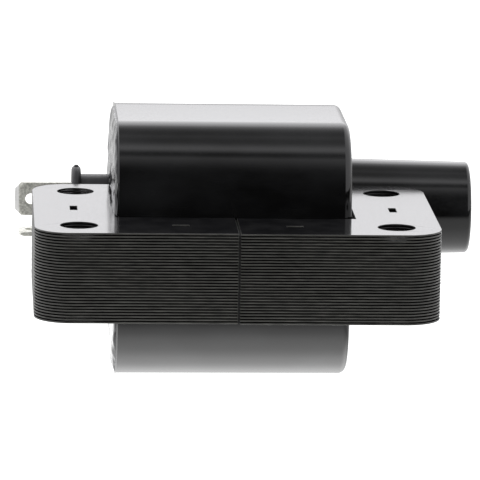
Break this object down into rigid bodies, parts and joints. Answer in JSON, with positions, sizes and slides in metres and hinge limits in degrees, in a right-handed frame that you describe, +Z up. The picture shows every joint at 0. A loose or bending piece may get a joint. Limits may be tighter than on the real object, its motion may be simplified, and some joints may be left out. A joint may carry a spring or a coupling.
{
  "type": "ignition coil",
  "caption": "Potted ignition coil on a closed laminated core, with a round socket tower at one end and spade terminals at the other.",
  "frame": {"origin": "centre of the four mounting holes, on the underside of the core", "axes": "+X from the low-tension terminals to the high-tension tower, +Y from the bare leg of the core to the wound leg, +Z up through the mounting holes"},
  "size_m": [0.0866, 0.0697, 0.0478],
  "materials": {
    "core_steel": "gloss black varnish over stacked steel laminations",
    "pressboard": "plain pressboard",
    "case_plastic": "gloss black moulded polyester",
    "epoxy": "dark glossy cast epoxy, slightly wavy",
    "carrier_plastic": "satin black moulded nylon",
    "tinned_brass": "tin-plated, brushed and mottled",
    "bobbin_plastic": "black moulded plastic",
    "primary_copper": "enamelled copper wire",
    "insulation_paper": "varnished insulation paper",
    "former_plastic": "natural moulded plastic",
    "secondary_copper": "fine enamelled copper wire",
    "brass": "bright turned brass"
  },
  "bodies": {
    "root": {"core_half_left": "core_steel", "core_half_right": "core_steel", "core_spacer_front": "pressboard", "core_spacer_rear": "pressboard", "case_shell": "case_plastic", "potting_resin": "epoxy", "terminal_carrier": "carrier_plastic", "spade_terminal_upper": "tinned_brass", "spade_terminal_lower": "tinned_brass", "primary_bobbin": "bobbin_plastic", "primary_winding": "primary_copper", "insulation_sleeve": "insulation_paper", "secondary_bobbin": "former_plastic", "ht_contact_cup": "brass", "ht_lead": "secondary_copper", "primary_lead_feed": "primary_copper", "primary_lead_switched": "primary_copper", "secondary_ground_lead": "secondary_copper", "secondary_winding_1": "secondary_copper", "secondary_winding_2": "secondary_copper", "secondary_winding_3": "secondary_copper", "secondary_winding_4": "secondary_copper", "secondary_winding_5": "secondary_copper", "secondary_winding_6": "secondary_copper", "secondary_winding_7": "secondary_copper", "secondary_winding_8": "secondary_copper"}
  },
  "joints": []
}
